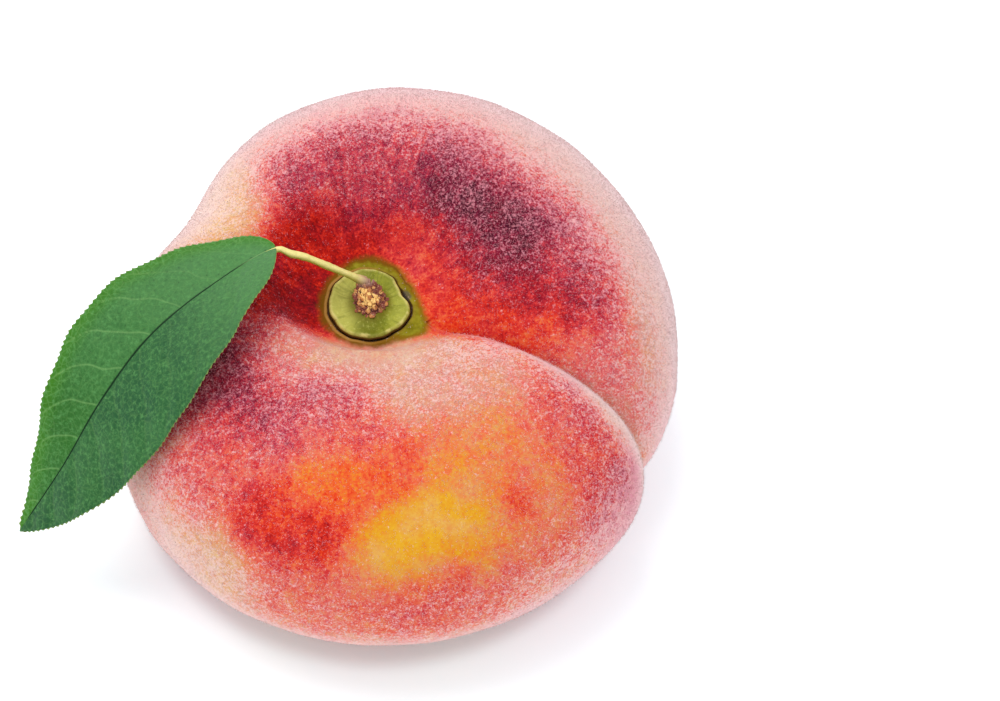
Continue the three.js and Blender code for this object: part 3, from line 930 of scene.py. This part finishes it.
# The stalk from the stub to the foot of the blade, then the midrib to the tip, as in the CAD part.
STALK_POINTS = (
    (-0.6, 2.3, 15.1), (-2.6, 1.85, 17), (-5.2, 1.65, 18.9), (-7.6, 1.55, 20.5), (-9.7, 1.5, 21.4),
)
MIDRIB_POINTS = (
    (-11.3, 1.7, 22), (-19.4, -3.2, 20.4), (-26.6, -8.4, 17.2), (-32.5, -13, 10.9), (-37.8, -16.7, 2.3),
    (-43.9, -19.3, -7.5),
)
STALK_RADIUS = 0.47
BLADE_BACK = (9.5, 0.66, 0.99)  # width, power at the foot, power at the tip
BLADE_FRONT = (12, 0.72, 0.87)
BLADE_ROLL_AT_FOOT = 19
BLADE_ROLL_CHANGE = -39
BLADE_FOLD = math.radians(10.3)
BLADE_DROOP = 0.4
BLADE_HALF_THICKNESS = 0.13

BLADE_STATIONS = 460
BLADE_COLUMNS = 84
BLADE_CROWDING = 1.15  # over 1 makes the columns finer by the midrib
TOOTH_LENGTH = 0.74
TOOTH_HEIGHT = 0.33
TOOTH_RISE = 0.75  # the share of a tooth on its long side
TOOTH_MIDDLE = 0.6  # the share of its height that is inside the plain outline
TOOTH_OFFSET = 0.37  # how far on the back half's teeth are, in teeth
VEIN_SPACING = 5.4
VEIN_SLOPE = 0.62  # how far forward a side vein runs for each mm out
VEIN_CURL = 3  # and how much further it has swept at the edge
VEIN_CURL_POWER = 4
VEIN_WANDERS = ((0.22, 0.9, 0.35), (0.08, 2.1, 0))  # height, radians for each mm out and along
VEIN_STARTS = (0.5, 0.1)  # on the back and front halves, in spacings
VEIN_SLANT = 0.85  # a spacing across the veins for one along the midrib
VEIN_WIDTH = 0.1
QUILT_WIDTH = 1
QUILT_DEPTH = 0.16  # how far the blade dips along a vein
RIPPLE_HEIGHT = 0.22
RIPPLE_TURN = 0.75  # radians for each mm
RIPPLE_STARTS = (1, 2.4)
MIDRIB_WIDTH = 0.2
MIDRIB_SLIM = 0.45  # its width towards the foot and the tip, as a share
MIDRIB_FULL = (0.45, 0.32)  # where along the blade it is widest, and its spread
EDGE_THINS = (-0.05, 0.4)
MIDRIB_GROOVE = 0.12
MIDRIB_KEEL = 0.28  # how far it stands out underneath
VEIN_GROOVE = 0.05
VEIN_KEEL = 0.06
SPINE = np.array(STALK_POINTS + MIDRIB_POINTS, float)
FOOT_SHARE = len(STALK_POINTS) / (len(SPINE) - 1)
SPINE_STEP = 1e-3


def spine_points(share):
    """Points of a centripetal Catmull-Rom curve through the spine, even steps knot to knot."""
    knots = np.vstack([2 * SPINE[0] - SPINE[1], SPINE, 2 * SPINE[-1] - SPINE[-2]])
    t = np.clip(share, 0, 1) * (len(SPINE) - 1)
    i = np.minimum(t.astype(int), len(SPINE) - 2)
    f = (t - i)[:, None]
    p0, p1, p2, p3 = (knots[i + k] for k in range(4))
    before, here, after = (
        np.sqrt(np.linalg.norm(b - a, axis=1, keepdims=True)) for a, b in ((p0, p1), (p1, p2), (p2, p3))
    )
    leave = here * ((p1 - p0) / before - (p2 - p0) / (before + here) + (p2 - p1) / here)
    arrive = here * ((p2 - p1) / here - (p3 - p1) / (here + after) + (p3 - p2) / after)
    bend = 3 * (p2 - p1) - 2 * leave - arrive
    return p1 + leave * f + bend * f**2 + (2 * (p1 - p2) + leave + arrive) * f**3


def spine_frame(share, roll):
    """The spine's points with their front and up directions, rolled by an angle."""
    centre = spine_points(share)
    forward = unit(spine_points(share + SPINE_STEP) - spine_points(share - SPINE_STEP))
    level = unit(np.cross((0, 0, 1), forward))
    raised = np.cross(forward, level)
    roll = np.broadcast_to(roll, share.shape)[:, None]
    front = level * np.cos(roll) + raised * np.sin(roll)
    return centre, front, np.cross(forward, front)


def blade_width(half, share):
    width, foot, tip = half
    widest = foot / (foot + tip)
    peak = widest**foot * (1 - widest) ** tip
    share = np.clip(share, 0, 1)
    return width * share**foot * (1 - share) ** tip / peak


def blade_sheet():
    """The blade's middle surface: places, up directions, and fields over stations and columns."""
    share = np.linspace(0.001, 0.999, BLADE_STATIONS)
    roll = np.radians(BLADE_ROLL_AT_FOOT + BLADE_ROLL_CHANGE * share)
    centre, front, up = spine_frame(FOOT_SHARE + (1 - FOOT_SHARE) * share, roll)
    along = np.append(0, np.cumsum(np.linalg.norm(np.diff(centre, axis=0), axis=1)))
    t = np.linspace(-1, 1, BLADE_COLUMNS + 1)
    t = (np.sign(t) * np.abs(t) ** BLADE_CROWDING)[None]
    back_side, front_side = (blade_width(half, share)[:, None] for half in (BLADE_BACK, BLADE_FRONT))
    side = np.where(t < 0, back_side, front_side)
    phase = along[:, None] / TOOTH_LENGTH + np.where(t < 0, TOOTH_OFFSET, 0)
    tooth = np.minimum((phase % 1) / TOOTH_RISE, (1 - phase % 1) / (1 - TOOTH_RISE))
    ends = ease(0.02, 0.06, share) * ease(1, 0.97, share)
    reach = side + TOOTH_HEIGHT * (tooth - TOOTH_MIDDLE) * ends[:, None]
    out = np.abs(t) * np.maximum(reach, 0)
    a = along[:, None] + 0 * out
    near_edge = out / np.maximum(side, 0.5)
    swept = out * VEIN_SLOPE + VEIN_CURL * np.clip(near_edge, 0, 1) ** VEIN_CURL_POWER
    wander = sum(height * np.sin(out * o + a * l) for height, o, l in VEIN_WANDERS)
    order = (a - swept + wander) / VEIN_SPACING + np.where(t < 0, *VEIN_STARTS)
    gap = np.abs(order - np.round(order)) * VEIN_SPACING * VEIN_SLANT
    begin = np.round(order) * VEIN_SPACING
    fade = ease(-0.1, 2, begin) * ease(1.06, 0.85, near_edge) * ease(0, 0.5, out)
    middle, spread = MIDRIB_FULL
    slim = lerp(MIDRIB_SLIM, 1, bell(share - middle, spread))[:, None]
    rib = bell(out, MIDRIB_WIDTH * slim) * ease(1, 0.93, share)[:, None]
    ripple = RIPPLE_HEIGHT * np.sin(a * RIPPLE_TURN + np.where(t < 0, *RIPPLE_STARTS)) * near_edge**2
    relief = ripple - QUILT_DEPTH * (bell(gap, QUILT_WIDTH) * fade)
    lift = out * math.tan(BLADE_FOLD) * (1 - BLADE_DROOP * np.abs(t)) + relief
    place = centre[:, None] + front[:, None] * (np.sign(t) * out)[..., None]
    place = place + up[:, None] * lift[..., None]
    fields = {
        "vein": bell(gap, VEIN_WIDTH) * fade,
        "rib": rib,
        "edge": np.maximum(side - out, 0),
        "half": np.sign(t) + 0 * out,
        "along": a,
    }
    return place, up[:, None] + 0 * place, fields


def wall_faces(a, b, count, flip):
    """Quads between an edge of the upper sheet and the same edge of the lower one."""
    quads = np.stack([a, b, b + count, a + count], -1)
    return (quads[:, ::-1] if flip else quads).tolist()


def add_blade():
    place, up, fields = blade_sheet()
    rows, columns = place.shape[:2]
    thin = BLADE_HALF_THICKNESS * ease(*EDGE_THINS, fields["edge"])
    over = thin - MIDRIB_GROOVE * fields["rib"] - VEIN_GROOVE * fields["vein"]
    under = thin + MIDRIB_KEEL * fields["rib"] + VEIN_KEEL * fields["vein"]
    top = place + up * over[..., None]
    bottom = place - up * under[..., None]
    points = np.vstack([top.reshape(-1, 3), bottom.reshape(-1, 3)])
    count = rows * columns
    faces = grid_faces(rows, columns, False, flip=True)
    faces += grid_faces(rows, columns, False, start=count)
    r, c = np.arange(rows - 1) * columns, np.arange(columns - 1)
    for column, flip in ((0, True), (columns - 1, False)):
        faces += wall_faces(r + column, r + columns + column, count, flip)
    for first, flip in ((0, False), ((rows - 1) * columns, True)):
        faces += wall_faces(first + c, first + c + 1, count, flip)
    attributes = {key: np.tile(values.ravel(), 2) for key, values in fields.items()}
    attributes["under"] = np.repeat([0, 1], count)
    mesh_piece("leaf_blade", points, faces, "leaf", leaf_material(), attributes)


def leaf_material():
    s = Shader("leaf_green")
    broad = s.noise(7, 2, 0.5, 1)
    fine = s.noise(0.5, 3, 0.7, 2)
    cells = {"Vector": s.where, "Scale": 1 / 0.9}
    net = s.node("TexVoronoi", cells, feature="DISTANCE_TO_EDGE")
    net_line = s.span(net.outputs["Distance"], 0.09, 0.01)
    half = s.span(s.attribute("half"), -0.5, 0.5)
    edge, along, vein, rib = (s.attribute(key) for key in ("edge", "along", "vein", "rib"))
    yellow = s.times(s.span(edge, 3.5, 0), s.math("SUBTRACT", 1, half))
    net_share = s.plus(s.times(yellow, 0.3), 0.16)
    vein_share = s.times(vein, s.math("MULTIPLY_ADD", half, -0.22, 0.34))
    midrib = s.mix(s.span(along, 2, 6), (116, 158, 96), (2, 42, 14))
    below = s.mix(s.math("MAXIMUM", vein, rib), (130, 162, 104), (186, 200, 138))
    layers = (
        # painted highlight: the blade lighter towards its foot
        (s.span(along, 22, 2, 0, 0.9), (76, 126, 72)),
        (s.span(along, 22, 38, 0, 0.85), s.mix(half, (36, 94, 18), (30, 78, 40))),
        (s.span(broad, 0.35, 0.7, 0, 0.35), (62, 118, 56)),
        (s.times(yellow, 0.8), (58, 118, 8)),
        (s.span(fine, 0.45, 0.75, 0, 0.7), (88, 146, 82)),
        (s.span(fine, 0.45, 0.25, 0, 0.6), (22, 64, 30)),
        (s.times(net_line, net_share), (100, 150, 78)),
        (s.times(vein_share, s.span(along, 8, 22, 0.35, 1)), (140, 186, 112)),
        (s.span(rib, 0.35, 0.85), midrib),
        # painted highlight along the blade's edge
        (s.span(edge, 0.18, 0.06, 0, 0.6), (150, 160, 84)),
        (s.attribute("under"), below),
    )
    height = s.math("SUBTRACT", s.times(fine, 0.6), s.times(net_line, 0.5))
    return s.finish(
        # painted light and shade: the back half of the blade lighter, the front half darker
        Base_Color=s.painted(s.mix(half, (56, 108, 54), (33, 81, 46)), layers),
        Roughness=s.span(fine, 0.3, 0.7, 0.42, 0.6),
        Normal=s.bump(height, 0.06, 0.5),
        Specular_IOR_Level=0.15,
    )


STALK_STATIONS = 150
STALK_COLUMNS = 28
STALK_END = FOOT_SHARE * 1.05  # a little way under the blade
STALK_SWELL = (0.6, 0.04)  # at the stub, and its spread
STALK_WOBBLE = (0.05, 40)  # of the radius, radians over the spine
STALK_TIP = 0.7
STALK_TAPERS = (0.4, 0.53)
STALK_GROOVE = (0.22, 0.5)  # along the top, and its spread
STALK_SINK = 0.25
STALK_SINKS = (0.46, 0.53)  # as the stalk goes under the blade
STALK_LUMPS = ((0.03, 0.7, 21),)


def add_stalk():
    share = np.linspace(0, STALK_END, STALK_STATIONS)
    centre, front, up = spine_frame(share, math.radians(BLADE_ROLL_AT_FOOT))
    angle = np.linspace(0, 2 * math.pi, STALK_COLUMNS, endpoint=False)
    more, spread = STALK_SWELL
    wobble, rate = STALK_WOBBLE
    swell = 1 + more * bell(share, spread) + wobble * np.sin(share * rate)
    taper = lerp(1, STALK_TIP, ease(*STALK_TAPERS, share))
    radius = (STALK_RADIUS * swell * taper)[:, None]
    depth, spread = STALK_GROOVE
    groove = 1 - depth * bell(turned_from(angle, math.pi / 2), spread)
    across = radius * np.cos(angle)[None]
    rise = radius * (np.sin(angle) * groove)[None]
    sink = -STALK_SINK * ease(*STALK_SINKS, share)[:, None]
    points = centre[:, None] + front[:, None] * across[..., None]
    points = points + up[:, None] * (rise + sink)[..., None]
    points = points + lumps_at(points, STALK_LUMPS)[..., None]
    body, faces = closed_shell(points)
    values = np.append(np.repeat(share[1:-1], STALK_COLUMNS), [0, share[-1]])
    mesh_piece("leaf_stalk", body, faces, "leaf", stalk_material(), {"share": values})


def stalk_material():
    s = Shader("stalk_green")
    fine = s.noise(0.5, 3, 0.6, 1)
    painted_light_up = s.part(s.node("NewGeometry").outputs["Normal"], 2)
    layers = (
        (s.span(fine, 0.4, 0.7, 0, 0.4), (180, 186, 84)),
        (s.span(s.attribute("share"), 0.08, 0), (168, 132, 112)),
    )
    # painted light: the stalk lighter on top
    colour = s.mix(s.span(painted_light_up, -0.2, 0.8), (150, 160, 50), (232, 220, 140))
    return s.finish(
        Base_Color=s.painted(colour, layers),
        Roughness=s.span(fine, 0.3, 0.7, 0.4, 0.6),
        Normal=s.bump(fine, 0.05, 0.5),
    )


# -------- stage

IMAGE_WIDTH, IMAGE_HEIGHT = 1000, 701
SENSOR = 36
LENS = 135
ELEVATION = math.radians(50)
MM_PER_PIXEL = 0.1266  # at the stem axis
WAIST_PIXEL = (373, 374)  # where the stem axis crosses the waist
CLIP = (0.01, 10)


def add_camera():
    data = bpy.data.cameras.new("camera")
    data.sensor_width = SENSOR
    data.lens = LENS
    data.clip_start, data.clip_end = CLIP
    camera = add_object("camera", data)
    back = Vector((0, -math.cos(ELEVATION), math.sin(ELEVATION)))
    right = Vector((1, 0, 0))
    up = back.cross(right)
    away = LENS / SENSOR * IMAGE_WIDTH * MM_PER_PIXEL
    across = (WAIST_PIXEL[0] - IMAGE_WIDTH / 2) * MM_PER_PIXEL
    rise = (IMAGE_HEIGHT / 2 - WAIST_PIXEL[1]) * MM_PER_PIXEL
    place = Vector(ORIGIN) - right * across - up * rise + back * away
    turned = Matrix((right, up, back)).transposed().to_4x4()
    camera.matrix_world = Matrix.Translation(place * MM) @ turned
    bpy.context.scene.camera = camera


# The studio's bounced light on the paper, which keeps the shadow pale, and grey beside red skin.
# It fades where the fruit overhangs the paper, at these distances from the stem axis, and is all
# but gone deeper under it.
FLOOR_GLOW = (0.19, 0.34, 0.39, 1)
GLOW_UNDER_FRUIT = (0, 0.1, 0.14, 1)
GLOW_FADES = (31, 34.5)
GLOW_DEEP_UNDER = (0.012, 0.014, 0.014, 1)
GLOW_GOES_OUT = (27, 31)
GLOW_TOWARDS_KEY = 0.06  # how much further under, for each mm to the left

FLOOR_HALF_SIZE = 3.0
KEY_PLACE = (-0.2, 0.08, 0.8)
KEY_TARGET = (0, 0, 0.02)
KEY_SIZE = 0.55
KEY_POWER = 3
SURROUND_STRENGTH = 0.9


def add_floor():
    mesh = bpy.data.meshes.new("floor")
    signs = ((-1, -1), (1, -1), (1, 1), (-1, 1))
    corners = [(x * FLOOR_HALF_SIZE, y * FLOOR_HALF_SIZE, 0) for x, y in signs]
    mesh.from_pydata(corners, [], [(0, 1, 2, 3)])
    s = Shader("studio_floor")
    away = s.vector("LENGTH", s.vector("MULTIPLY", s.where, (1, 1, 0)))
    left = s.math("MAXIMUM", s.times(s.part(s.where, 0), -GLOW_TOWARDS_KEY), 0)
    reach = s.plus(away, left)
    shaded = s.mix(s.span(reach, *GLOW_GOES_OUT), GLOW_DEEP_UNDER, GLOW_UNDER_FRUIT)
    mesh.materials.append(
        s.finish(
            Base_Color=linear(250, 250, 251),
            Roughness=0.9,
            Emission_Color=s.mix(s.span(reach, *GLOW_FADES), shaded, FLOOR_GLOW),
            Emission_Strength=1,
        )
    )
    add_object("floor", mesh)


def add_key_light():
    data = bpy.data.lights.new("key", "AREA")
    data.shape = "DISK"
    data.size = KEY_SIZE
    data.energy = KEY_POWER
    light = add_object("key", data)
    light.location = KEY_PLACE
    towards = Vector(KEY_TARGET) - Vector(KEY_PLACE)
    light.rotation_euler = towards.to_track_quat("-Z", "Y").to_euler()


def add_stage():
    add_floor()
    add_camera()
    add_key_light()
    world = bpy.data.worlds.new("studio")
    bpy.context.scene.world = world
    world.use_nodes = True
    backdrop = world.node_tree.nodes["Background"]
    backdrop.inputs["Color"].default_value = (1, 1, 1, 1)
    backdrop.inputs["Strength"].default_value = SURROUND_STRENGTH
    bpy.context.scene.view_settings.view_transform = "Standard"


add_fruit()
for down_number in range(1, DOWN_PIECES + 1):
    add_down(down_number, fitted_skin())
add_collar()
add_stub()
add_blade()
add_stalk()
add_stage()
